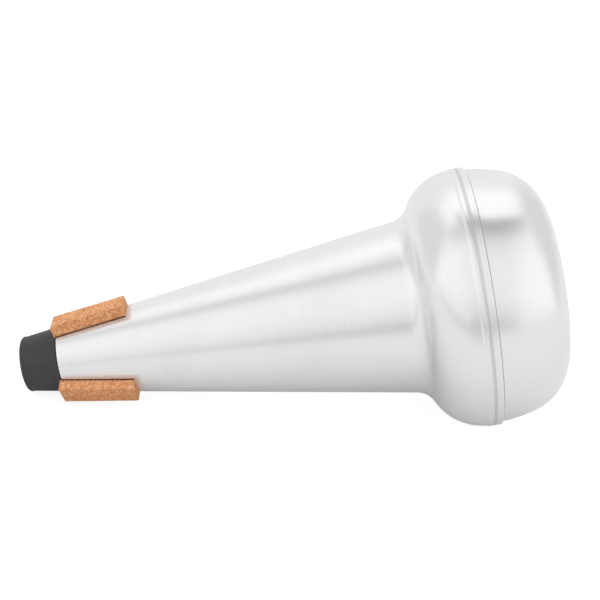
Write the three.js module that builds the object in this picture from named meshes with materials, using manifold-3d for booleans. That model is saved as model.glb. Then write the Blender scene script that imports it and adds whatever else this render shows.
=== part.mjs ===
// A trombone practice mute of spun aluminium, lying on its side.
// Lengths are in millimetres and angles in degrees. +Z is up, and +X runs from the narrow end
// towards the base. Each piece is drawn round the mute's own axis, where place 0 is the front
// shell's narrow edge and places grow towards the base. The whole mute is then laid down, so
// that it rests on the lip of its throat sleeve and on its head.

import * as THREE from 'three';
import { mergeVertices } from 'three/addons/utils/BufferGeometryUtils.js';
import Module from 'manifold-3d';

// Front shell: a long cone, a tight neck and the round shoulder of the head.
const wall = 1;
const throatRadius = 15.5;
const coneAngle = 8.7;
const coneLength = 161.6;
const neckRadius = 10;
const flankAngle = 63.3;
const shoulderRadius = 25.9;
const shoulderEndAngle = 5;

// Joint band: the front shell's rim, stepped outwards so that the rear cap slides into it.
const bandLength = 7.3;
const bandRise = 0.55;
const bandFootRadius = 0.6;
const bandHollowRadius = 0.6;
const jointClearance = 0.3;

// Rear cap: a short straight rim, a nearly straight crown, a round corner and a flat base.
const capTuck = 4;
const capRimLength = 1.6;
const crownRadius = 62;
const crownAngle = 18.6;
const cornerRadius = 24.8;

// Throat sleeve: a rubber tip in line with the cone, with a spigot that is pushed into it.
const sleeveLength = 18.3;
const sleeveGap = 0.3;
const spigotLength = 12;
const spigotClearance = 0.3;
const boreRadius = 8;
const boreEdgeRadius = 1;
const lipRadius = 1.3;
const lipRise = 0.25;

// Cork strips: flat bars glued along the cone, with a hollow underside that follows it.
const corkLength = 35;
const corkWidth = 11.4;
const corkThickness = 4.85;
const corkOverhang = 0.6;
const glueLine = 0.3;
const corkSides = ['top', 'front', 'back'];

// Damping pad: a felt disc on the inside of the flat base.
const padThickness = 12;
const padGap = 0.3;

// Roundness of the model.
const facets = 60;
const arcStep = 9;

const rad = THREE.MathUtils.degToRad;
const sin = (angle) => Math.sin(rad(angle));
const cos = (angle) => Math.cos(rad(angle));
const tan = (angle) => Math.tan(rad(angle));
const point = (radius, place) => new THREE.Vector2(radius, place);

// The radius of the cone's outer face, also past the shell's narrow edge.
const coneRadius = (place) => throatRadius + place * tan(coneAngle);

// A path beside the axis, as a lathe reads it: x is the radius and y the place.
// It moves along a heading, where 0 runs towards the base and 90 straight away from the axis.
class Outline {
  constructor(radius, place, heading) {
    this.heading = heading;
    this.points = [];
    this.normals = [];
    this.mark(radius, place);
  }

  get end() {
    return this.points.at(-1);
  }

  mark(radius, place) {
    this.points.push(point(radius, place));
    this.normals.push(point(cos(this.heading), -sin(this.heading)));
    return this;
  }

  line(length) {
    return this.mark(
      this.end.x + length * sin(this.heading),
      this.end.y + length * cos(this.heading),
    );
  }

  // An arc that leaves along the present heading and bends until it reaches the new one.
  arc(radius, heading) {
    const from = this.end;
    const start = this.heading;
    const turn = heading - start;
    const side = Math.sign(turn) * radius;
    const steps = Math.ceil(Math.abs(turn) / arcStep);
    for (let step = 1; step <= steps; step++) {
      this.heading = start + turn * step / steps;
      this.mark(
        from.x + side * (cos(start) - cos(this.heading)),
        from.y + side * (sin(this.heading) - sin(start)),
      );
    }
    return this;
  }

  // The straight stretch that closes a cap in the middle.
  toAxis() {
    return this.mark(0, this.end.y);
  }

  // Slides the whole path so that it ends at a given radius and place.
  endAt(radius, place) {
    const shift = point(radius, place).sub(this.end);
    this.points.forEach((each) => each.add(shift));
    return this;
  }

  // The same path one depth below the surface, drawn backwards.
  below(depth) {
    const lowered = this.points.map((each, index) => {
      return each.clone().addScaledVector(this.normals[index], -depth);
    });
    return lowered.reverse();
  }
}

// Half a facet of turn puts a flat, not an edge, at the top and at the bottom.
function revolve(points) {
  return new THREE.LatheGeometry(points, facets, rad(180 / facets));
}

function closed(points) {
  return [...points, points[0].clone()];
}

// The step between the shoulder and the band is a hollow curve and a round one.
function frontShellOutline() {
  const bandCrownRadius = wall + bandHollowRadius;
  const stepRadii = bandFootRadius + bandCrownRadius;
  const stepReach = bandFootRadius * cos(shoulderEndAngle) + bandCrownRadius - bandRise;
  const stepAngle = THREE.MathUtils.radToDeg(Math.acos(stepReach / stepRadii));
  const outline = new Outline(throatRadius, 0, coneAngle)
    .line(coneLength / cos(coneAngle))
    .arc(neckRadius, flankAngle)
    .arc(shoulderRadius, shoulderEndAngle);
  const bandStart = outline.end.y;
  outline.arc(bandFootRadius, stepAngle).arc(bandCrownRadius, 0);
  return outline.line(bandStart + bandLength - outline.end.y);
}

// The cap's rim stands inside the band, one clearance below the band's inner wall.
function rearCapOutline(band) {
  return new Outline(band.x - wall - jointClearance, band.y - capTuck, 0)
    .line(capRimLength)
    .arc(crownRadius, -crownAngle)
    .arc(cornerRadius, -90)
    .toAxis();
}

// The sleeve's outside starts on its end face, rolls over the lip and carries the cone's line on.
function sleeveOutline() {
  const lipAngle = THREE.MathUtils.radToDeg(Math.acos(1 - lipRise / lipRadius));
  const lipLength = lipRadius * (1 - sin(coneAngle - lipAngle));
  const outline = new Outline(0, 0, 90).arc(lipRadius, coneAngle - lipAngle);
  outline.heading = coneAngle;
  return outline
    .line((sleeveLength - sleeveGap - lipLength) / cos(coneAngle))
    .endAt(coneRadius(-sleeveGap), -sleeveGap);
}

function frontShell(outline) {
  return revolve(closed([...outline.below(wall), ...outline.points]));
}

function rearCap(outline) {
  return revolve([...outline.below(wall), ...outline.points]);
}

function throatSleeve(outline) {
  const spigotRadius = (place) => coneRadius(place) - (wall + spigotClearance) / cos(coneAngle);
  const entry = new Outline(boreRadius, boreEdgeRadius - sleeveLength, 180).arc(boreEdgeRadius, 90);
  return revolve(closed([
    ...entry.points,
    ...outline.points,
    point(spigotRadius(-sleeveGap), -sleeveGap),
    point(spigotRadius(spigotLength), spigotLength),
    point(boreRadius, spigotLength),
  ]));
}

function dampingPad(base, radius) {
  const seat = base - wall - padGap;
  const face = seat - padThickness;
  return revolve([point(0, face), point(radius, face), point(radius, seat), point(0, seat)]);
}

const wasm = await Module();
wasm.setup();

function toSolid(geometry) {
  geometry.deleteAttribute('normal');
  geometry.deleteAttribute('uv');
  const merged = mergeVertices(geometry);
  return new wasm.Manifold(new wasm.Mesh({
    numProp: 3,
    vertProperties: new Float32Array(merged.attributes.position.array),
    triVerts: new Uint32Array(merged.index.array),
  }));
}

function toGeometry(solid) {
  const mesh = solid.getMesh();
  const geometry = new THREE.BufferGeometry();
  geometry.setAttribute('position', new THREE.BufferAttribute(mesh.vertProperties, 3));
  geometry.setIndex(new THREE.BufferAttribute(mesh.triVerts, 1));
  geometry.computeVertexNormals();
  return geometry;
}

// A bar that lies along the cone at the top, cut hollow underneath one glue line off the cone.
function corkStrip() {
  const root = corkWidth / 2;
  const bar = new THREE.BoxGeometry(corkWidth, corkLength, corkThickness + root);
  bar.translate(0, corkLength / 2 - corkOverhang, (corkThickness - root) / 2);
  bar.rotateX(rad(coneAngle));
  bar.translate(0, 0, throatRadius);
  const lift = glueLine / cos(coneAngle);
  const start = -corkOverhang - corkWidth;
  const end = corkLength + corkWidth;
  const cone = revolve([
    point(0, start),
    point(coneRadius(start) + lift, start),
    point(coneRadius(end) + lift, end),
    point(0, end),
  ]);
  return toGeometry(toSolid(bar).subtract(toSolid(cone)));
}

// The slope of the line that the mute lies on, which touches the lip and the head from below.
function layAngle(lip, head) {
  const flat = cos(180 / facets);
  const slope = (from, to) => Math.atan2(flat * (to.x - from.x), to.y - from.y);
  return Math.min(...lip.map((from) => Math.max(...head.map((to) => slope(from, to)))));
}

const aluminium = () => new THREE.MeshStandardMaterial({
  color: 0xdfe0e2, roughness: 0.34, metalness: 1,
});
const rubber = () => new THREE.MeshStandardMaterial({
  color: 0x343435, roughness: 0.7, metalness: 0,
});
const cork = () => new THREE.MeshStandardMaterial({
  color: 0xc98d62, roughness: 0.92, metalness: 0,
});
const felt = () => new THREE.MeshStandardMaterial({
  color: 0x4d4b49, roughness: 1, metalness: 0,
});

const mute = new THREE.Group();

function place(name, geometry, material) {
  const mesh = new THREE.Mesh(geometry, material);
  mesh.name = name;
  mute.add(mesh);
  return mesh;
}

const shell = frontShellOutline();
const cap = rearCapOutline(shell.end);
const sleeve = sleeveOutline();
const baseRadius = cap.points.at(-2).x;

place('front_shell', frontShell(shell), aluminium());
place('rear_cap', rearCap(cap), aluminium());
place('throat_sleeve', throatSleeve(sleeve), rubber());
place('damping_pad', dampingPad(cap.end.y, baseRadius), felt());
corkSides.forEach((side, index) => {
  const turn = 360 * index / corkSides.length;
  place(`cork_strip_${side}`, corkStrip(), cork()).rotation.y = rad(turn);
});

mute.rotation.set(0, -layAngle(sleeve.points, [...shell.points, ...cap.points]), -Math.PI / 2);
const bounds = new THREE.Box3().setFromObject(mute, true);
const middle = bounds.getCenter(new THREE.Vector3());
mute.position.set(-middle.x, -middle.y, -bounds.min.z);

const group = new THREE.Group();
group.add(mute);

export default group;
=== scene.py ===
import math

import bmesh
import bpy
from mathutils import Matrix, Vector, noise


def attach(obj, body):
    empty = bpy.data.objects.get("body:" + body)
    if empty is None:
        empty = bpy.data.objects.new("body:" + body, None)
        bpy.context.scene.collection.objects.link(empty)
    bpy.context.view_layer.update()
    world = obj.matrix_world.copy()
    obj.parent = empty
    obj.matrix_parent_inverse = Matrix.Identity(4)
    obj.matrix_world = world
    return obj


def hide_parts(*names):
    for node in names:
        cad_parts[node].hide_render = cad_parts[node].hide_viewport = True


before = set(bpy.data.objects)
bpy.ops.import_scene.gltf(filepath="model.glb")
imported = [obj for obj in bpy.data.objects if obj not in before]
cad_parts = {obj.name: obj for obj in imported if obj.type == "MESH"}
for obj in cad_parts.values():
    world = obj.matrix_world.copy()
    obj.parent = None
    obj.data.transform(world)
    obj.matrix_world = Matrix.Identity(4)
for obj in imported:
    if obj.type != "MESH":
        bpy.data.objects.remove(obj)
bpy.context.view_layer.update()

print("frame loaded with", len(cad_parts), "nodes")

# pieces are drawn in millimetres, and the frame and the materials are in metres
mm = 0.001

# how the mute lies: its narrow end, and the rise of its axis towards the base
lying = {"start": (-0.1064727, 0.0, 0.0165784), "rise": math.radians(12.75062)}
muteToRow = Matrix.Translation(lying["start"]) @ Matrix.Rotation(-lying["rise"], 4, "Y")

# how finely sections are drawn and spun; the frame's flats touch the round surface
turning = {"steps": 240, "facets": 60, "lineStep": 2.6, "arcStep": 3.0, "merge": 0.001}


# the shell's sizes come before the finishes, because the metal's painted darkening follows its band
shellSizes = {
    "wall": 1.0,
    "edge": 0.2,
    "throatRadius": 15.5,
    "coneAngle": 8.7,
    "coneLength": 161.6,
    "neckRadius": 10.0,
    "flankAngle": 63.3,
    "shoulderRadius": 25.9,
    "shoulderEndAngle": 5.0,
    "bandLength": 7.3,
    "bandRise": 0.55,
    "bandFootRadius": 2.0,
    "bandCrownRadius": 2.0,
    "grooveLead": 0.7,
    "grooveRadius": 1.6,
    "grooveDown": 20.0,
    "grooveUp": 10.0,
}


# the radius of the cone's outer face at a place along the axis
def coneRadius(place):
    return shellSizes["throatRadius"] + place * math.tan(math.radians(shellSizes["coneAngle"]))


# how far an arc moves along the axis and away from it
def arcMove(radius, start, end):
    side = math.copysign(radius, end - start)
    first, last = math.radians(start), math.radians(end)
    return side * (math.sin(last) - math.sin(first)), side * (math.cos(first) - math.cos(last))


# the radii and end headings of the shell's arcs, and where its band starts and its crown ends
def shellArcs():
    s = shellSizes
    crown = s["bandCrownRadius"]
    endAngle = s["shoulderEndAngle"]
    reach = s["bandFootRadius"] * math.cos(math.radians(endAngle)) + crown - s["bandRise"]
    stepAngle = math.degrees(math.acos(reach / (s["bandFootRadius"] + crown)))
    headArcs = [(s["neckRadius"], s["flankAngle"]), (s["shoulderRadius"], endAngle)]
    arcs = [*headArcs, (s["bandFootRadius"], stepAngle), (crown, 0.0)]
    angle, place, radius = s["coneAngle"], s["coneLength"], coneRadius(s["coneLength"])
    places = []
    for arcRadius, nextAngle in arcs:
        places.append(place)
        ahead, away = arcMove(arcRadius, angle, nextAngle)
        angle, place, radius = nextAngle, place + ahead, radius + away
    return arcs, places[len(headArcs)], place, radius


bandArcs, bandStart, bandCrownEnd, bandRadius = shellArcs()
bandEnd = bandStart + shellSizes["bandLength"]
grooveStart = bandCrownEnd + shellSizes["grooveLead"]
grooveFall = arcMove(shellSizes["grooveRadius"], 0.0, -shellSizes["grooveDown"])[0]
grooveRise = arcMove(shellSizes["grooveRadius"], shellSizes["grooveUp"], 0.0)[0]
grooveBottom = grooveStart + 2 * grooveFall
grooveEnd = grooveBottom + 2 * grooveRise


# and the cork bars' sizes, because the metal round them is rougher and has a painted reflection of
# the cork
corkSides = ("top", "front", "back")
corkSizes = {
    "length": 35.9,
    "width": 11.4,
    "thickness": 4.85,
    "overhang": 1.1,
    "lift": 0.06,
    "cuts": (58, 18, 8),
    "edgeRadius": 0.65,
    # the outer edge at the narrow end is sanded off over this length, by this share
    "endSlope": 0.7,
    "endShare": 0.7,
    "thicker": 0.3,
    "pitDepth": 0.07,
    "pitScale": 1.1,
    "finePitShare": 0.6,
    "finePitScale": 2.3,
    "wearDepth": 0.16,
    "wearScale": 0.45,
    # the long outer edges are rubbed past these shares of the half height and half width
    "rubbedHeight": 0.8,
    "rubbedWidth": 0.92,
    # what lies below this share of the edge radius sits on the cone
    "seatShare": 0.8,
    "seed": 11.0,
    "seedSpread": (1.0, 2.3, 0.7),
}


# shader helpers: maths on a Wire adds its Math nodes

class Wire:
    def __init__(self, bench, socket):
        self.bench = bench
        self.socket = socket

    def join(self, operation, first, second):
        return self.bench.maths(operation, first, second)

    def __add__(self, other):
        return self.join("ADD", self, other)

    def __radd__(self, other):
        return self.join("ADD", other, self)

    def __sub__(self, other):
        return self.join("SUBTRACT", self, other)

    def __rsub__(self, other):
        return self.join("SUBTRACT", other, self)

    def __mul__(self, other):
        return self.join("MULTIPLY", self, other)

    def __truediv__(self, other):
        return self.join("DIVIDE", self, other)

    def __pow__(self, other):
        return self.join("POWER", self, other)


class Bench:
    def __init__(self, tree):
        self.tree = tree
        tree.nodes.clear()

    def add(self, kind, settings=None, inputs=None):
        node = self.tree.nodes.new(kind)
        for name, value in (settings or {}).items():
            if name == "stops":
                self.fillRamp(node, value)
            else:
                setattr(node, name, value)
        for name, value in (inputs or {}).items():
            if isinstance(value, Wire):
                self.tree.links.new(value.socket, node.inputs[name])
            else:
                node.inputs[name].default_value = value
        return [Wire(self, socket) for socket in node.outputs]

    def fillRamp(self, node, stops):
        elements = node.color_ramp.elements
        while len(elements) < len(stops):
            elements.new(1.0)
        for element, (place, colour) in zip(elements, stops):
            element.position = place
            element.color = (*colour, 1.0)

    def maths(self, operation, *values):
        return self.add("ShaderNodeMath", {"operation": operation}, dict(enumerate(values)))[0]

    def smooth(self, value, low, high):
        settings = {"interpolation_type": "SMOOTHSTEP"}
        return self.add("ShaderNodeMapRange", settings, {0: value, 1: low, 2: high})[0]

    def grain(self, place, scale, detail, rough):
        inputs = {"Vector": place, "Scale": scale, "Detail": detail, "Roughness": rough}
        return self.add("ShaderNodeTexNoise", {}, inputs)[0]

    def ramp(self, place, stops):
        return self.add("ShaderNodeValToRGB", {"stops": stops}, {0: place})[0]

    def blend(self, share, first, second):
        settings = {"data_type": "RGBA"}
        return self.add("ShaderNodeMix", settings, {0: share, 6: first, 7: second})[2]

    def bump(self, height, distance, below=None):
        inputs = {"Height": height, "Distance": distance, "Strength": 1.0}
        if below is not None:
            inputs["Normal"] = below
        return self.add("ShaderNodeBump", {}, inputs)[0]

    def split(self, vector):
        return self.add("ShaderNodeSeparateXYZ", {}, {0: vector})

    def stretch(self, vector, scale):
        return self.add("ShaderNodeMapping", {}, {"Vector": vector, "Scale": scale})[0]

    def objectCoordinates(self):
        return self.add("ShaderNodeTexCoord")[3]

    # the object's coordinates, turned so that X is the mute's axis
    def muteCoordinates(self):
        where = self.objectCoordinates()
        turn = (0.0, -lying["rise"], 0.0)
        inputs = {"Vector": where, "Location": lying["start"], "Rotation": turn}
        return self.add("ShaderNodeMapping", {"vector_type": "TEXTURE"}, inputs)[0]


def newMaterial(name, surface):
    material = bpy.data.materials.new(name)
    material.use_nodes = True
    bench = Bench(material.node_tree)
    shader = bench.add("ShaderNodeBsdfPrincipled", {}, surface(bench))[0]
    bench.add("ShaderNodeOutputMaterial", {}, {"Surface": shader})
    return material


# finishes: each grain is a noise's scale, detail and roughness, each range is where it starts
# and ends to show, and each tone or share is how much of it shows

aluminiumFinish = {
    "colour": (0.87, 0.87, 0.872, 1.0),
    "dullColour": (0.82, 0.82, 0.822, 1.0),
    "paintedDarkColour": (0.2, 0.2, 0.205, 1.0),
    "paintedCorkReflection": (0.8, 0.6, 0.52, 1.0),
    "roughness": 0.22,
    "dullRoughness": 0.06,
    "paintedDarkRoughness": 0.3,
    "nearCorkRoughness": 0.42,
    "grooves": (5200.0, 3.0, 0.6),
    "grooveDepth": 0.000016,
    "toolRings": (1300.0, 2.0, 0.5),
    "ringDepth": 0.00002,
    "ringTone": 0.8,
    "waves": (60.0, 1.0, 0.4),
    "waveDepth": 0.00003,
    "handling": (24.0, 3.0, 0.55),
    "handlingRange": (0.45, 0.75),
    "handlingTone": 0.6,
    "scuffs": (130.0, 4.0, 0.7),
    "scuffRange": (0.6, 0.72),
    "scuffTone": 0.25,
    # the seam is painted darker: metres past the band's end, and for the depth millimetres below the
    # band
    "seamLead": (-0.0002, 0.0),
    "seamTail": (0.0001, 0.0006),
    "seamDepth": 1.0,
    "seamFade": 0.0004,
    "seamTone": 0.95,
    # the groove's bottom is painted darker: metres from the bottom of the band's groove
    "grooveDarkRange": (0.0012, 0.0004),
    "grooveDarkTone": 0.3,
    # metres from a bar's sides, where the metal is rougher and a reflection of the cork is painted
    # on
    "nearCorkRange": (0.003, -0.0002),
    "corkReflectionTone": 0.3,
}


def aluminiumSurface(bench):
    finish = aluminiumFinish
    place, across, up = bench.split(bench.muteCoordinates())
    radius = (across * across + up * up) ** 0.5
    rings = bench.add("ShaderNodeCombineXYZ", {}, {0: place, 1: radius})[0]
    grooves = bench.grain(rings, *finish["grooves"])
    toolRings = bench.grain(rings, *finish["toolRings"])
    waves = bench.grain(rings, *finish["waves"])
    handling = bench.grain(bench.muteCoordinates(), *finish["handling"])
    scuffs = bench.grain(bench.muteCoordinates(), *finish["scuffs"])
    dullness = bench.smooth(handling, *finish["handlingRange"]) * finish["handlingTone"]
    dullness = dullness + bench.smooth(scuffs, *finish["scuffRange"]) * finish["scuffTone"]
    dullness = dullness + (toolRings - 0.5) * finish["ringTone"]
    # the seam behind the band is painted dark, and the bottom of the band's groove a little darker
    past = place - bandEnd * mm
    seam = bench.smooth(past, *finish["seamLead"])
    seam = seam * (1.0 - bench.smooth(past, *finish["seamTail"]))
    deep = (bandRadius - finish["seamDepth"]) * mm
    seam = seam * bench.smooth(radius, deep + finish["seamFade"], deep)
    fromGroove = bench.maths("ABSOLUTE", place - grooveBottom * mm)
    grooveDarkening = bench.smooth(fromGroove, *finish["grooveDarkRange"])
    paintedDarkening = bench.maths("MAXIMUM", seam * finish["seamTone"], grooveDarkening * finish["grooveDarkTone"])
    # round the cork bars, which are spread evenly round the axis, the metal is rougher and tinted
    # warm: a painted reflection of the cork
    halfTurn = math.pi / len(corkSides)
    around = bench.maths("WRAP", bench.maths("ARCTAN2", across, up), halfTurn, -halfTurn)
    offMiddle = bench.maths("ABSOLUTE", radius * bench.maths("SINE", around))
    beside = offMiddle - corkSizes["width"] / 2 * mm
    middle = (corkSizes["length"] / 2 - corkSizes["overhang"]) * mm
    beyond = bench.maths("ABSOLUTE", place - middle) - corkSizes["length"] / 2 * mm
    nearCork = bench.smooth(bench.maths("MAXIMUM", beside, beyond), *finish["nearCorkRange"])
    normal = bench.bump(waves, finish["waveDepth"])
    normal = bench.bump(toolRings, finish["ringDepth"], normal)
    normal = bench.bump(grooves, finish["grooveDepth"], normal)
    colour = bench.blend(dullness, finish["colour"], finish["dullColour"])
    # a reflection of the cork, painted warm on the metal round the bars
    colour = bench.blend(nearCork * finish["corkReflectionTone"], colour, finish["paintedCorkReflection"])
    roughness = finish["roughness"] + dullness * finish["dullRoughness"]
    roughness = roughness + paintedDarkening * finish["paintedDarkRoughness"] + nearCork * finish["nearCorkRoughness"]
    return {
        # the base colour is painted darker in the seam and the groove
        "Base Color": bench.blend(paintedDarkening, colour, finish["paintedDarkColour"]),
        "Metallic": 1.0,
        "Roughness": roughness,
        "Normal": normal,
    }


rubberFinish = {
    "colour": (0.03, 0.03, 0.032, 1.0),
    "dustColour": (0.055, 0.054, 0.054, 1.0),
    "roughness": 0.52,
    "smearRoughness": 0.12,
    "speckRoughness": 0.1,
    "specks": (2600.0, 3.0, 0.6),
    "speckDepth": 0.000012,
    "smears": (110.0, 4.0, 0.6),
    "smearRange": (0.4, 0.8),
    "smearTone": 0.5,
    "dust": (900.0, 2.0, 0.6),
    "dustRange": (0.62, 0.75),
    "dustTone": 0.5,
}


def rubberSurface(bench):
    finish = rubberFinish
    where = bench.muteCoordinates()
    specks = bench.grain(where, *finish["specks"])
    smears = bench.smooth(bench.grain(where, *finish["smears"]), *finish["smearRange"])
    dust = bench.smooth(bench.grain(where, *finish["dust"]), *finish["dustRange"])
    dusty = dust * finish["dustTone"] + smears * finish["smearTone"]
    roughness = finish["roughness"] + smears * finish["smearRoughness"]
    return {
        "Base Color": bench.blend(dusty, finish["colour"], finish["dustColour"]),
        "Roughness": roughness + (specks - 0.5) * finish["speckRoughness"],
        "Normal": bench.bump(specks, finish["speckDepth"]),
    }


corkFinish = {
    "drift": {"Scale": 700.0, "Detail": 2.0},
    "driftReach": (0.0007, 0.0007, 0.0007),
    "granuleScale": 1150.0,
    "crumbs": (2600.0, 4.0, 0.7),
    "streaks": (1900.0, 3.0, 0.6),
    "streakStretch": (0.14, 1.0, 1.0),
    "granuleTone": 0.6,
    "crumbTone": 0.8,
    "streakTone": 0.7,
    "toneDrop": 0.55,
    "granuleStops": (
        (0.0, (0.4, 0.125, 0.036)),
        (0.2, (0.7, 0.27, 0.1)),
        (0.5, (0.88, 0.39, 0.168)),
        (0.8, (0.96, 0.54, 0.27)),
        (1.0, (0.99, 0.78, 0.52)),
    ),
    "seamColour": (0.34, 0.115, 0.04, 1.0),
    "seamRange": (0.0, 0.12),
    "seamTone": 0.45,
    "pitColour": (0.16, 0.06, 0.028, 1.0),
    "pits": (1300.0, 3.0, 0.6),
    "pitRange": (0.63, 0.72),
    "pitTone": 0.75,
    "rubbedRange": (0.3, 0.6),
    "rubbedTone": 0.5,
    "roughness": 0.86,
    "crumbRoughness": 0.15,
    "granuleRange": (0.0, 0.2),
    "granuleDepth": 0.00012,
    "crumbDepth": 0.00006,
}


def corkSurface(bench):
    finish = corkFinish
    where = bench.objectCoordinates()
    drift = bench.add("ShaderNodeTexNoise", {}, {"Vector": where, **finish["drift"]})[1]
    bent = bench.add("ShaderNodeVectorMath", {"operation": "MULTIPLY_ADD"},
                     {0: drift, 1: finish["driftReach"], 2: where})[0]
    granules = {"Vector": bent, "Scale": finish["granuleScale"]}
    shade = bench.add("ShaderNodeTexVoronoi", {}, granules)[1]
    value = bench.add("ShaderNodeSeparateColor", {}, {0: shade})[0]
    edge = bench.add("ShaderNodeTexVoronoi", {"feature": "DISTANCE_TO_EDGE"}, granules)[0]
    crumbs = bench.grain(where, *finish["crumbs"])
    pits = bench.smooth(bench.grain(where, *finish["pits"]), *finish["pitRange"])
    lengthwise = bench.stretch(bench.muteCoordinates(), finish["streakStretch"])
    streaks = bench.grain(lengthwise, *finish["streaks"])
    tone = value * finish["granuleTone"] + crumbs * finish["crumbTone"]
    tone = tone + streaks * finish["streakTone"] - finish["toneDrop"]
    colour = bench.ramp(tone, finish["granuleStops"])
    seams = (1.0 - bench.smooth(edge, *finish["seamRange"])) * finish["seamTone"]
    colour = bench.blend(seams, colour, finish["seamColour"])
    colour = bench.blend(pits * finish["pitTone"], colour, finish["pitColour"])
    # dirt where the long outer edges rub
    rubbed = bench.add("ShaderNodeAttribute", {"attribute_name": "rubbed"})[2]
    dirt = rubbed * bench.smooth(crumbs, *finish["rubbedRange"]) * finish["rubbedTone"]
    colour = bench.blend(dirt, colour, finish["seamColour"])
    raised = bench.smooth(edge, *finish["granuleRange"]) - pits
    normal = bench.bump(raised, finish["granuleDepth"])
    return {
        "Base Color": colour,
        "Roughness": finish["roughness"] + (crumbs - 0.5) * finish["crumbRoughness"],
        "Normal": bench.bump(crumbs, finish["crumbDepth"], normal),
    }


# the glue's near-black colour is partly real glue and partly painted shade under the bars' long
# edges
glueAndShadeFinish = {
    "colour": (0.045, 0.014, 0.008, 1.0),
    "thinColour": (0.22, 0.075, 0.035, 1.0),
    "roughness": 0.45,
    "lumpRoughness": 0.2,
    "lumps": (900.0, 3.0, 0.6),
    "lumpRange": (0.4, 0.7),
    "lumpDepth": 0.00004,
}


def glueAndShadeSurface(bench):
    finish = glueAndShadeFinish
    lumps = bench.grain(bench.objectCoordinates(), *finish["lumps"])
    thin = bench.smooth(lumps, *finish["lumpRange"])
    return {
        "Base Color": bench.blend(thin, finish["colour"], finish["thinColour"]),
        "Roughness": finish["roughness"] + lumps * finish["lumpRoughness"],
        "Normal": bench.bump(lumps, finish["lumpDepth"]),
    }


feltFinish = {
    "colour": (0.06, 0.057, 0.054, 1.0),
    "paleColour": (0.13, 0.125, 0.12, 1.0),
    "roughness": 0.95,
    "fibreRoughness": 0.1,
    "fibres": (1500.0, 4.0, 0.7),
    "fibreStretch": (3.0, 1.0, 0.35),
    "fibreTone": 0.7,
    "fibreDepth": 0.0002,
    "clumps": (160.0, 3.0, 0.6),
    "clumpTone": 0.3,
    "paleRange": (0.4, 0.65),
}


def feltSurface(bench):
    finish = feltFinish
    where = bench.muteCoordinates()
    fibres = bench.grain(bench.stretch(where, finish["fibreStretch"]), *finish["fibres"])
    clumps = bench.grain(where, *finish["clumps"])
    pale = fibres * finish["fibreTone"] + clumps * finish["clumpTone"]
    pale = bench.smooth(pale, *finish["paleRange"])
    return {
        "Base Color": bench.blend(pale, finish["colour"], finish["paleColour"]),
        "Roughness": finish["roughness"] - fibres * finish["fibreRoughness"],
        "Normal": bench.bump(fibres, finish["fibreDepth"]),
    }


aluminium = newMaterial("spunAluminium", aluminiumSurface)
rubber = newMaterial("blackRubber", rubberSurface)
cork = newMaterial("sandedCork", corkSurface)
glueAndShade = newMaterial("glueAndPaintedShade", glueAndShadeSurface)
felt = newMaterial("greyFelt", feltSurface)
print("finishes made")


# turned pieces: a pen draws half a section in XZ, where X is the axis and Z the radius

def along(angle):
    return Vector((math.cos(math.radians(angle)), 0.0, math.sin(math.radians(angle))))


class Pen:
    def __init__(self, mesh, place, radius, heading):
        self.mesh = mesh
        self.heading = heading
        self.tip = mesh.verts.new((place, 0.0, radius))

    def line(self, length):
        steps = max(1, math.ceil(length / turning["lineStep"]))
        for _ in range(steps):
            made = bmesh.ops.extrude_vert_indiv(self.mesh, verts=[self.tip])
            self.tip = made["verts"][0]
            move = along(self.heading) * length / steps
            bmesh.ops.translate(self.mesh, verts=[self.tip], vec=move)
        return self

    def arc(self, radius, heading):
        turn = heading - self.heading
        centre = self.tip.co + along(self.heading + math.copysign(90.0, turn)) * radius
        steps = max(2, math.ceil(abs(turn) / turning["arcStep"]))
        made = bmesh.ops.spin(self.mesh, geom=[self.tip], cent=centre, axis=(0.0, -1.0, 0.0),
                              angle=math.radians(turn), steps=steps)
        ends = [part for part in made["geom_last"] if isinstance(part, bmesh.types.BMVert)]
        self.tip = ends[0]
        self.heading = heading
        return self

    # draws lines, given as a length, and arcs, given as a radius and the heading they end on
    def draw(self, run, depth=0.0):
        for step in run:
            if len(step) == 1:
                self.line(*step)
            else:
                radius, heading = step
                self.arc(radius + math.copysign(depth, heading - self.heading), heading)
        return self


# a sheet of metal: its outer face is drawn, then its inner face a wall below it
def drawWall(mesh, place, radius, heading, run, wall, edge, closedAtAxis=False):
    outer = Pen(mesh, place, radius, heading)
    inward = along(heading - 90.0) * wall
    inner = Pen(mesh, place + inward.x, radius + inward.z, heading)
    start = Pen(mesh, place + inward.x, radius + inward.z, heading + 180.0)
    start.arc(edge, heading + 90.0).line(wall - 2 * edge).arc(edge, heading)
    outer.draw(run)
    inner.draw(run, wall)
    if not closedAtAxis:
        end = Pen(mesh, outer.tip.co.x, outer.tip.co.z, outer.heading)
        end.arc(edge, end.heading - 90.0).line(wall - 2 * edge).arc(edge, end.heading - 90.0)


def finishPiece(mesh, name, material, nodeName=None, place=muteToRow):
    bmesh.ops.transform(mesh, matrix=place, verts=mesh.verts)
    data = bpy.data.meshes.new(name)
    mesh.to_mesh(data)
    mesh.free()
    data.polygons.foreach_set("use_smooth", [True] * len(data.polygons))
    piece = bpy.data.objects.new(name, data)
    bpy.context.scene.collection.objects.link(piece)
    data.materials.append(material)
    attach(piece, "root")
    if nodeName:
        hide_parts(nodeName)
    print("made", name, "with", len(data.polygons), "faces")
    return piece


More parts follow.
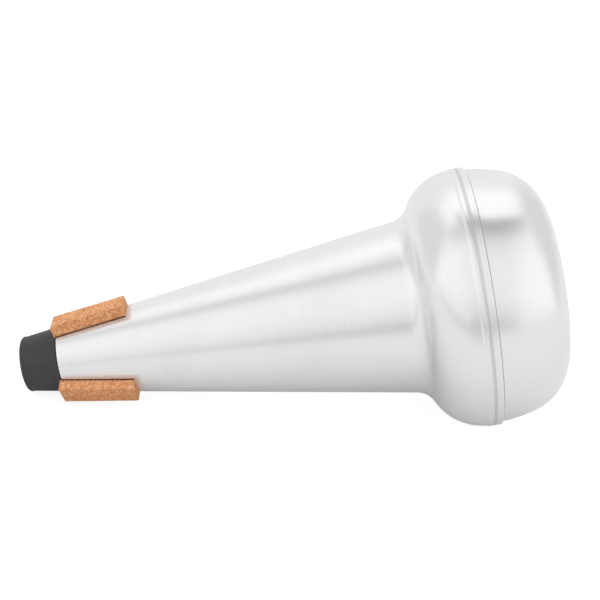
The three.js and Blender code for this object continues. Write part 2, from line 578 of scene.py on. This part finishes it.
def spinPiece(mesh, name, material, nodeName):
    bmesh.ops.remove_doubles(mesh, verts=mesh.verts, dist=turning["merge"])
    bmesh.ops.spin(mesh, geom=mesh.verts[:] + mesh.edges[:], cent=(0.0, 0.0, 0.0),
                   axis=(1.0, 0.0, 0.0), angle=math.tau, steps=turning["steps"], use_merge=True)
    bmesh.ops.remove_doubles(mesh, verts=mesh.verts, dist=turning["merge"])
    bmesh.ops.recalc_face_normals(mesh, faces=mesh.faces)
    flat = math.cos(math.pi / turning["facets"])
    bmesh.ops.scale(mesh, vec=(mm, mm * flat, mm * flat), verts=mesh.verts)
    return finishPiece(mesh, name, material, nodeName)


def makeShell():
    s = shellSizes
    slope = along(s["coneAngle"])
    radius = s["grooveRadius"]
    groove = [(s["grooveLead"],), (radius, -s["grooveDown"]), (radius, s["grooveUp"]), (radius, 0.0)]
    cone = (s["coneLength"] / slope.x - s["edge"],)
    run = [cone, *bandArcs, *groove, (bandEnd - grooveEnd - s["edge"],)]
    mesh = bmesh.new()
    place = s["edge"] * slope.x
    drawWall(mesh, place, coneRadius(place), s["coneAngle"], run, s["wall"], s["edge"])
    spinPiece(mesh, "turnedShell", aluminium, "front_shell")


makeShell()

capSizes = {
    "wall": 1.0,
    "edge": 0.2,
    "tuck": 4.0,
    "clearance": 0.3,
    "rimLength": 1.6,
    "crownRadius": 62.0,
    "crownAngle": 18.6,
    "cornerRadius": 24.8,
}


def makeCap():
    s = capSizes
    place, radius = bandEnd - s["tuck"], bandRadius - s["wall"] - s["clearance"]
    crown, corner = -s["crownAngle"], -90.0
    crownAhead, crownAway = arcMove(s["crownRadius"], 0.0, crown)
    cornerAhead, cornerAway = arcMove(s["cornerRadius"], crown, corner)
    baseRadius = radius + crownAway + cornerAway
    basePlace = place + s["rimLength"] + crownAhead + cornerAhead
    rim = (s["rimLength"] - s["edge"],)
    run = [rim, (s["crownRadius"], crown), (s["cornerRadius"], corner), (baseRadius,)]
    mesh = bmesh.new()
    drawWall(mesh, place + s["edge"], radius, 0.0, run, s["wall"], s["edge"], closedAtAxis=True)
    spinPiece(mesh, "turnedCap", aluminium, "rear_cap")
    return basePlace, baseRadius


basePlace, baseRadius = makeCap()

sleeveSizes = {
    "length": 18.3,
    "gap": 0.3,
    "spigotLength": 12.0,
    "spigotClearance": 0.3,
    "boreRadius": 8.0,
    "boreEdge": 1.0,
    "lipRadius": 1.3,
    "lipRise": 0.25,
    "valleyRadius": 0.8,
    "cornerRadius": 0.25,
}


def makeSleeve():
    s = sleeveSizes
    cone = shellSizes["coneAngle"]
    lipDrop = math.degrees(math.acos(1.0 - s["lipRise"] / (s["lipRadius"] + s["valleyRadius"])))
    lipAngle = cone - lipDrop
    slope = along(cone)
    inset = (shellSizes["wall"] + s["spigotClearance"]) / slope.x
    spigotEnd = coneRadius(s["spigotLength"]) - inset
    lipAhead, lipAway = arcMove(s["lipRadius"], 90.0, lipAngle)
    valleyAhead, valleyAway = arcMove(s["valleyRadius"], lipAngle, cone)
    cornerAhead = arcMove(s["cornerRadius"], cone, -90.0)[0]
    bodyLength = (s["length"] - s["gap"] - lipAhead - valleyAhead - cornerAhead) / slope.x
    bodyStart = coneRadius(lipAhead + valleyAhead - s["length"])
    faceWidth = bodyStart - valleyAway - lipAway - s["boreRadius"] - s["boreEdge"]
    mesh = bmesh.new()
    # from the bore round the lip and along the body, then in and along the spigot
    pen = Pen(mesh, s["spigotLength"], s["boreRadius"], 180.0)
    pen.line(s["spigotLength"] + s["length"] - s["boreEdge"])
    pen.arc(s["boreEdge"], 90.0).line(faceWidth)
    pen.arc(s["lipRadius"], lipAngle).arc(s["valleyRadius"], cone)
    pen.line(bodyLength).arc(s["cornerRadius"], -90.0)
    pen.line(pen.tip.co.z - (coneRadius(-s["gap"]) - inset))
    pen.heading = cone
    pen.line((s["spigotLength"] - pen.tip.co.x) / slope.x)
    pen.heading = -90.0
    pen.line(spigotEnd - s["boreRadius"])
    spinPiece(mesh, "rubberSleeve", rubber, "throat_sleeve")


makeSleeve()

padSizes = {"thickness": 12.0, "gap": 0.3, "wall": 1.0, "edge": 1.6, "crown": 0.5}


def makePad():
    s = padSizes
    seat = basePlace - s["wall"] - s["gap"]
    mesh = bmesh.new()
    pen = Pen(mesh, seat - s["thickness"], 0.0, 90.0)
    pen.line(baseRadius - s["edge"]).arc(s["edge"], 0.0)
    pen.line(s["thickness"] - 2 * s["edge"]).arc(s["edge"], -90.0).line(baseRadius - s["edge"])
    for vert in mesh.verts:  # the face bulges in the middle, so it falls away towards its edge
        if vert.co.x < seat - s["thickness"] / 2:
            share = 1.0 - (vert.co.z / baseRadius) ** 2
            vert.co.x += s["crown"] * (1.0 - share)
    piece = spinPiece(mesh, "feltPad", felt, "damping_pad")


makePad()


# whether an edge of a straight bar runs along an axis rather than across it
def runsAlong(edge, axis, alongShare=0.9):
    span = edge.verts[0].co - edge.verts[1].co
    return abs(span[axis]) > alongShare * span.length


# turns what is drawn at the top of the cone to one of the bars' sides
def sidePlace(index):
    turned = Matrix.Rotation(math.tau * index / len(corkSides), 4, "X") @ Matrix.Scale(mm, 4)
    return muteToRow @ turned


def wornHeight(co, depth, scale, seed):
    shift = Vector([seed * share for share in corkSizes["seedSpread"]])
    return depth * noise.noise(co * scale + shift)


def makeCork(side, index):
    s = corkSizes
    mesh = bmesh.new()
    bmesh.ops.create_cube(mesh, size=1.0)
    for axis, cuts in enumerate(s["cuts"]):
        edges = [edge for edge in mesh.edges if runsAlong(edge, axis)]
        bmesh.ops.subdivide_edges(mesh, edges=edges, cuts=cuts, use_grid_fill=True)
    size = Vector((s["length"], s["width"], s["thickness"]))
    bmesh.ops.scale(mesh, vec=size, verts=mesh.verts)
    half = size / 2
    seed = s["seed"] * (index + 1)
    finePits = s["pitDepth"] * s["finePitShare"]
    rubbed = mesh.verts.layers.float.new("rubbed")
    for vert in mesh.verts:
        co = vert.co
        high = co.z > half.z * s["rubbedHeight"]
        vert[rubbed] = float(high and abs(co.y) > half.y * s["rubbedWidth"])
        radius = s["edgeRadius"] + wornHeight(co, s["wearDepth"], s["wearScale"], seed)
        core = Vector([max(radius - half[k], min(half[k] - radius, co[k])) for k in range(3)])
        out = co - core
        if out.length > 0.0:
            co = core + out.normalized() * min(out.length, radius)
        slope = s["endSlope"] - (co.x + half.x)
        if co.z > 0.0 and slope > 0.0:
            co.z -= slope * co.z / half.z * s["endShare"]
        outward = Vector([co[k] / half[k] if abs(co[k]) > half[k] - radius else 0.0
                          for k in range(3)])
        if outward.length > 0.0:
            depth = wornHeight(co, s["pitDepth"], s["pitScale"], seed)
            depth += wornHeight(co, finePits, s["finePitScale"], seed)
            co += outward.normalized() * (depth - s["pitDepth"])
        vert.co = co
        # meant to make the bar a little thicker at the narrow end, but this changes only the copy of
        # the point after the point is set, so the bar keeps one thickness
        if co.z > 0.0:
            co.z += s["thicker"] * (0.5 - co.x / size.x)
    bmesh.ops.translate(mesh, verts=mesh.verts, vec=(half.x - s["overhang"], 0.0, half.z))
    base = [vert for vert in mesh.verts if vert.co.z < s["edgeRadius"] * s["seatShare"]]
    tilt = Matrix.Translation((0.0, 0.0, shellSizes["throatRadius"]))
    tilt = tilt @ Matrix.Rotation(-math.radians(shellSizes["coneAngle"]), 4, "Y")
    bmesh.ops.transform(mesh, matrix=tilt, verts=mesh.verts)
    for vert in base:
        vert.co.z = math.sqrt((coneRadius(vert.co.x) + s["lift"]) ** 2 - vert.co.y ** 2)
    bmesh.ops.recalc_face_normals(mesh, faces=mesh.faces)
    name = "corkBar" + side.capitalize()
    finishPiece(mesh, name, cork, "cork_strip_" + side, sidePlace(index))


glueSizes = {
    "short": 0.6,
    "width": 0.42,
    "height": 0.36,
    "bite": 0.1,
    "seat": 0.05,
    "cuts": 110,
    "seed": 5.0,
    # how the glue swells and thins along the bar, apart for its two sides
    "swellScale": 0.7,
    "swellReach": 1.2,
    "swellSide": 3.0,
    "uneven": 0.16,
    "topInset": 0.03,
    "innerRise": 0.75,
    "innerSwell": 0.25,
    "outerRise": 0.55,
}


# glue that has squeezed out along the two long sides of a bar; its dark colour is partly painted
# shade under the bar's edges
def makeGlue(side, index):
    s, bar = glueSizes, corkSizes
    mesh = bmesh.new()
    length = bar["length"] - 2 * s["short"]
    for facing in (-1, 1):
        made = bmesh.ops.create_cube(mesh, size=1.0)
        edges = [edge for edge in mesh.edges
                 if edge.verts[0] in made["verts"] and runsAlong(edge, 0)]
        bmesh.ops.scale(mesh, vec=(length, s["width"], s["height"]), verts=made["verts"])
        ahead = length / 2 + s["short"] - bar["overhang"] + s["bite"]
        aside = facing * (bar["width"] / 2 + s["width"] / 2 - s["bite"])
        bmesh.ops.translate(mesh, vec=(ahead, aside, 0.0), verts=made["verts"])
        bmesh.ops.subdivide_edges(mesh, edges=edges, cuts=s["cuts"])
    seed = s["seed"] * (index + 1)
    for vert in mesh.verts:
        co = vert.co
        outside = abs(co.y) > bar["width"] / 2
        high = co.z > 0.0
        spot = Vector((co.x * s["swellScale"], seed, math.copysign(s["swellSide"], co.y)))
        swell = 1.0 + noise.noise(spot) * s["swellReach"]
        if outside:
            reach = s["topInset"] if high else s["uneven"] * swell
            co.y = math.copysign(bar["width"] / 2 + reach, co.y)
        lift = s["seat"]
        if high and outside:
            lift += s["height"] * s["outerRise"] * swell
        elif high:
            lift = s["height"] * (s["innerRise"] + s["innerSwell"] * swell)
        co.x = max(co.x, 0.0)
        co.z = math.sqrt((coneRadius(co.x) + lift) ** 2 - co.y ** 2)
    bmesh.ops.remove_doubles(mesh, verts=mesh.verts, dist=turning["merge"])
    bmesh.ops.recalc_face_normals(mesh, faces=mesh.faces)
    finishPiece(mesh, "glueLine" + side.capitalize(), glueAndShade, None, sidePlace(index))


for index, side in enumerate(corkSides):
    makeCork(side, index)
    makeGlue(side, index)

# floor, light and camera

studio = {
    "floorSize": 6.0,
    "floorWhite": (0.73, 0.73, 0.73, 1.0),
    "floorFar": (0.54, 0.54, 0.54, 1.0),
    "floorFade": {"ahead": (0.28, 0.46), "aside": (0.22, 0.02)},
    "floorSeen": (0.3, 0.3, 0.3, 1.0),
    "floorGlow": 0.87,
    "floorSheen": 0.095,
    # where one column of sky turns into the next, across the view
    "skyEdges": ((-0.76, -0.52), (-0.44, -0.2), (0.28, 0.58)),
    # how far each column bows up at its sides, in degrees, and where its middle is
    "skyBows": (0.0, 0.0, 90.0, 0.0),
    "bowMiddle": 0.06,
    # in each column, angles from the front horizon over the top, and the brightness there
    "skyColumns": (
        ((-180, 0.8), (0, 0.96), (18, 1.0), (42, 1.06), (72, 1.05), (88, 0.94), (102, 0.76),
         (120, 0.79), (180, 0.78)),
        ((-180, 0.8), (0, 0.9), (12, 0.93), (30, 1.0), (55, 1.02), (70, 1.0), (80, 0.86),
         (87, 0.68), (94, 0.71), (101, 1.0), (112, 1.1), (126, 1.1), (138, 0.94), (160, 0.9),
         (180, 0.92)),
        ((-180, 0.8), (-6, 0.65), (0, 0.5), (6, 0.7), (14, 0.85), (27, 0.94), (50, 0.95),
         (70, 0.87), (80, 0.7), (86, 0.46), (97, 0.4), (98.5, 1.15), (128, 1.13), (138, 0.97),
         (155, 0.92), (180, 0.92)),
        ((-180, 0.8), (0, 0.92), (12, 1.0), (30, 1.08), (65, 1.07), (88, 1.0), (108, 0.79),
         (150, 0.76), (180, 0.8)),
    ),
    # plain light on what is matt, at the horizon and overhead
    "plainLow": 0.8,
    "plainHigh": 1.26,
    # a ramp's colours stay below 1, so the sky is drawn this much darker and then lit up
    "skyStrength": 2.0,
}
fullTurn = 360


def makeFloor():
    mesh = bmesh.new()
    bmesh.ops.create_grid(mesh, x_segments=1, y_segments=1, size=studio["floorSize"] / 2)
    data = bpy.data.meshes.new("floor")
    mesh.to_mesh(data)
    mesh.free()
    floor = bpy.data.objects.new("floor", data)
    bpy.context.scene.collection.objects.link(floor)
    material = bpy.data.materials.new("floorWhite")
    material.use_nodes = True
    bench = Bench(material.node_tree)
    rays = bench.add("ShaderNodeLightPath")
    fromCamera, glossy = rays[0], rays[3]
    fade = studio["floorFade"]
    right, behind, _ = bench.split(bench.objectCoordinates())
    far = bench.smooth(0.0 - behind, *fade["ahead"]) * bench.smooth(right, *fade["aside"])
    white = bench.blend(far, studio["floorWhite"], studio["floorFar"])
    white = bench.blend(fromCamera, white, studio["floorSeen"])
    matt = bench.add("ShaderNodeBsdfDiffuse", {}, {"Color": white})[0]
    strength = fromCamera * studio["floorGlow"] + glossy * studio["floorSheen"]
    glow = bench.add("ShaderNodeEmission", {}, {"Strength": strength})[0]
    both = bench.add("ShaderNodeAddShader", {}, {0: matt, 1: glow})[0]
    bench.add("ShaderNodeOutputMaterial", {}, {"Surface": both})
    data.materials.append(material)


# the camera sees white, reflections see the columns, and what is matt sees the plain light
def makeSky():
    world = bpy.data.worlds.new("studio")
    bpy.context.scene.world = world
    world.use_nodes = True
    bench = Bench(world.node_tree)
    strength = studio["skyStrength"]
    toward = bench.add("ShaderNodeTexCoord")[0]
    x, y, z = bench.split(toward)
    turn = bench.maths("ARCTAN2", z, 0.0 - y) / math.tau + 0.5
    aside = x - studio["bowMiddle"]
    bow = aside * aside * z
    columns = []
    for column, lift in zip(studio["skyColumns"], studio["skyBows"]):
        stops = [(0.5 + angle / fullTurn, (light / strength,) * 3) for angle, light in column]
        columns.append(bench.ramp(turn - bow * (lift / fullTurn), stops))
    colour = columns[0]
    for edge, column in zip(studio["skyEdges"], columns[1:]):
        colour = bench.blend(bench.smooth(x, *edge), colour, column)
    low, high = studio["plainLow"] / strength, studio["plainHigh"] / strength
    plain = bench.ramp(z, [(0.0, (low,) * 3), (1.0, (high,) * 3)])
    rays = bench.add("ShaderNodeLightPath")
    fromCamera, glossy = rays[0], rays[3]
    white = (*(1.0 / strength,) * 3, 1.0)
    seen = bench.blend(fromCamera, bench.blend(glossy, plain, colour), white)
    background = bench.add("ShaderNodeBackground", {}, {"Color": seen, "Strength": strength})[0]
    bench.add("ShaderNodeOutputWorld", {}, {"Surface": background})


camera = {
    "place": (-0.0286476, -0.5133064, 0.3191761),
    "right": (0.9974938, -0.0264071, 0.0656416),
    "up": (-0.0460837, 0.4614937, 0.8859457),
    "lens": 74.94,
    "sensor": 36.0,
}


def makeCamera():
    data = bpy.data.cameras.new("camera")
    data.sensor_width = camera["sensor"]
    data.lens = camera["lens"]
    right, up = Vector(camera["right"]), Vector(camera["up"])
    turn = Matrix((right, up, right.cross(up))).transposed().to_4x4()
    view = bpy.data.objects.new("camera", data)
    bpy.context.scene.collection.objects.link(view)
    view.matrix_world = Matrix.Translation(camera["place"]) @ turn
    bpy.context.scene.camera = view


makeFloor()
makeSky()
makeCamera()
bpy.context.scene.view_settings.view_transform = "Standard"
print("studio set up")
